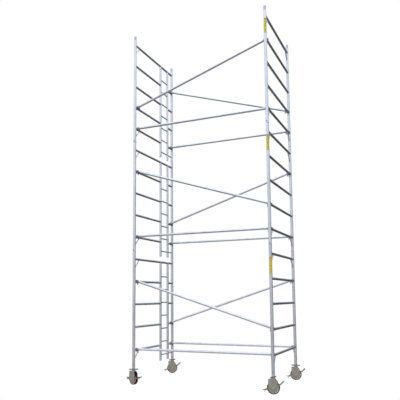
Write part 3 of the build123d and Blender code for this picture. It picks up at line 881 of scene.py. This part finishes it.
# The axle bolt's head and its nut are chamfered hexagons; the bolt's end stands through the nut.
HEXAGON_R = 0.0141
HEXAGON_DEPTH = 0.0116
HEXAGON_MIDDLE = 0.0044
BOLT_END_OUTLINE = ((0, 13.2), (6.9, 13.2), (8.15, 12.0), (8.15, 8.0), (0, 8.0))
bpy.ops.object.select_all(action="DESELECT")
bpy.ops.mesh.primitive_cylinder_add(
    vertices=6, radius=HEXAGON_R, depth=HEXAGON_DEPTH,
    location=(0, 0, HEXAGON_MIDDLE), rotation=(0, 0, math.radians(30)))
hexagon = bpy.context.object
settle(hexagon)
mesh = open_mesh(hexagon)
for edge in mesh.edges:
    edge.select_set(edge.verts[0].co.z > 0.009 and edge.verts[1].co.z > 0.009)
bpy.ops.mesh.bevel(offset=0.0014, segments=2, affect="EDGES")
close_mesh()
bolt_end = turned(BOLT_END_OUTLINE, 32)

# From the middle of the wheel to the outside of a fork plate, and from the axle to the middle of
# the plate's round end.
FORK_OUTSIDE = 0.0365
PLATE_MIDDLE = Matrix.Translation((-0.006, 0, 0))

# What is eased at each corner: the piece, the body that it is on, and by how many millimetres.
EASED = (("caster_fork_", "caster_", 0.7), ("brake_pedal_", "pedal_", 0.8), ("jack_nut_", "nut_", 0.9))

for name, sx, sy, heading in CORNERS:
    stand = at(sx * END_X, sy * SIDE_Y, 0, heading)
    axle = stand @ Matrix.Translation((0, 0, WHEEL_R))
    hub = axle @ Matrix.Rotation(math.pi / 2, 4, "X")
    made = set_out(tread, [hub])
    hand_over(made, "tread_moulded_" + name, looks["wheel_tread"], "wheel_" + name)
    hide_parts("wheel_tread_" + name)
    made = set_out(core, [hub])
    hand_over(made, "wheel_core_ribbed_" + name, looks["wheel_core"], "wheel_" + name)
    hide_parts("wheel_rim_" + name)
    near = axle @ Matrix.Translation((0, -FORK_OUTSIDE, 0))
    far = axle @ Matrix.Translation((0, FORK_OUTSIDE, 0))
    near_out = near @ Matrix.Rotation(math.pi / 2, 4, "X")
    far_out = far @ Matrix.Rotation(-math.pi / 2, 4, "X")
    pressings = [
        set_out(ridge, [near @ PLATE_MIDDLE, far @ PLATE_MIDDLE]),
        set_out(boss, [near_out, far_out]),
        set_out(race, [stand]),
    ]
    pick_only(*pressings)
    bpy.ops.object.join()
    made = bpy.context.object
    hand_over(made, "fork_pressings_" + name, looks["fork_plating"], "caster_" + name)
    bolts = [
        set_out(hexagon, [near_out, far_out]),
        set_out(bolt_end, [near_out]),
    ]
    pick_only(*bolts)
    bpy.ops.object.join()
    hand_over(bpy.context.object, "axle_bolt_" + name, bolt_look, "caster_" + name)
    for piece_start, body_start, width in EASED:
        softened(piece_start + name, width, body_start + name)
scrap(tread, core, ridge, boss, race, hexagon, bolt_end)

softened("brace_claws", 0.8, "tower")
for node in sorted(cad_nodes):
    if node.startswith("latch_"):
        softened(node, 0.6, body_of[node])


# ---------------------------------------------------------------- camera, light and floor

# A standing viewer's camera, off the front right corner: its place in metres, and its turn about
# the vertical, its tilt up and its roll in radians.
CAMERA_PLACE = (3.508, -8.737, 1.501)
CAMERA_TURN = 0.4148
CAMERA_TILT = 0.1091
CAMERA_ROLL = -0.0082
camera = bpy.data.objects.new("camera", bpy.data.cameras.new("camera"))
bpy.context.scene.collection.objects.link(camera)
bpy.context.scene.camera = camera
camera.data.sensor_width = 36.0
camera.data.lens = 46.69
camera.data.shift_x = 0.0056
camera.data.shift_y = 0.1006
camera.data.clip_end = 100.0
camera.matrix_world = (
    Matrix.Translation(CAMERA_PLACE)
    @ Matrix.Rotation(CAMERA_TURN, 4, "Z")
    @ Matrix.Rotation(math.pi / 2 + CAMERA_TILT, 4, "X")
    @ Matrix.Rotation(CAMERA_ROLL, 4, "Z")
)

# The studio round the tower: bright above and on the camera's side, with a dim backdrop behind.
# What the camera sees past the tower is plain white.
world = bpy.data.worlds.new("studio")
bpy.context.scene.world = world
world.use_nodes = True
sky = world.node_tree
sky.nodes.clear()
direction = axes(sky, add_node(sky, "ShaderNodeTexCoord").outputs["Generated"])
height = between(sky, direction["Z"], -1.0, 1.0, 0.0, 1.0)

# The light from each height, as linear colours: 0 is straight down, 0.5 level and 1 straight up.
FRONT = (
    (0.00, (0.15, 0.14, 0.14)), (0.25, (0.22, 0.21, 0.21)), (0.42, (0.46, 0.46, 0.48)),
    (0.50, (0.55, 0.57, 0.61)), (0.57, (0.82, 0.87, 0.96)), (0.70, (1.00, 1.07, 1.20)),
    (1.00, (1.25, 1.36, 1.58)),
)
BACK = (
    (0.00, (0.15, 0.14, 0.14)), (0.25, (0.12, 0.11, 0.11)), (0.42, (0.05, 0.05, 0.05)),
    (0.54, (0.06, 0.06, 0.07)), (0.64, (0.32, 0.34, 0.38)), (0.76, (0.80, 0.86, 1.0)),
    (1.00, (1.25, 1.36, 1.58)),
)
halves = []
for stops in (FRONT, BACK):
    ramp = add_node(sky, "ShaderNodeValToRGB", {"Fac": height})
    places = ramp.color_ramp.elements
    places[0].position = stops[0][0]
    places[0].color = stops[0][1] + (1,)
    places[1].position = stops[-1][0]
    places[1].color = stops[-1][1] + (1,)
    for position, colour in stops[1:-1]:
        places.new(position).color = colour + (1,)
    halves.append(ramp.outputs["Color"])
behind = between(sky, direction["Y"], -0.1, 0.55, 0.0, 1.0)
surround = blend(sky, behind, halves[0], halves[1])
around = add_node(sky, "ShaderNodeBackground", {"Color": surround, "Strength": 1.0})
white = add_node(sky, "ShaderNodeBackground", {"Color": (1, 1, 1, 1), "Strength": 1.0})
seen = add_node(sky, "ShaderNodeLightPath").outputs["Is Camera Ray"]
mix = add_node(sky, "ShaderNodeMixShader", {"Fac": seen, 1: around.outputs[0], 2: white.outputs[0]})
add_node(sky, "ShaderNodeOutputWorld", {"Surface": mix.outputs[0]})



def glowing(name, light):
    """A matt surface that gives off this light, a linear colour, and reflects none."""
    look, _, shader, _ = new_material(name, 0.0, 0.9)
    shader.inputs["Base Color"].default_value = srgb("#000000")
    shader.inputs["Specular IOR Level"].default_value = 0.0
    shader.inputs["Emission Color"].default_value = light
    shader.inputs["Emission Strength"].default_value = 1.0
    return look


# The floor is as white as what is behind it, and only the camera sees it.
bpy.ops.object.select_all(action="DESELECT")
bpy.ops.mesh.primitive_plane_add(size=60.0, location=(0, 0, -0.0005))
floor = bpy.context.object
floor.name = "floor"
floor.data.materials.append(glowing("pale_floor", srgb("#ffffff")))
floor.visible_diffuse = False
floor.visible_glossy = False
floor.visible_transmission = False

# A warm card on the floor lights the undersides of the tower, and the camera doesn't see it.
bpy.ops.object.select_all(action="DESELECT")
bpy.ops.mesh.primitive_plane_add(size=1.0, location=(0, -0.2, 0.0))
card = bpy.context.object
card.scale = (5.2, 3.6, 1)
settle(card)
card.name = "floor_card"
card.data.materials.append(glowing("floor_card_warm", (0.60, 0.52, 0.50, 1)))
card.visible_camera = False
card.visible_shadow = False

bpy.context.scene.view_settings.view_transform = "Standard"


def softbox(name, where, aim, size, power, colour):
    """A soft rectangular studio light, its size in metres and its power in watts."""
    light = bpy.data.objects.new(name, bpy.data.lights.new(name, "AREA"))
    bpy.context.scene.collection.objects.link(light)
    light.data.shape = "RECTANGLE"
    light.data.size = size[0]
    light.data.size_y = size[1]
    light.data.energy = power
    light.data.color = srgb(colour)[:3]
    light.location = where
    light.rotation_euler = (Vector(aim) - Vector(where)).to_track_quat("-Z", "Y").to_euler()


softbox("ceiling_light", (0, -1.0, 11.0), (0, 0, 3.0), (9, 9), 60, "#f4f7ff")
softbox("side_light", (-8.0, -7.0, 5.0), (0, 0, 3.0), (4, 7), 50, "#ffffff")
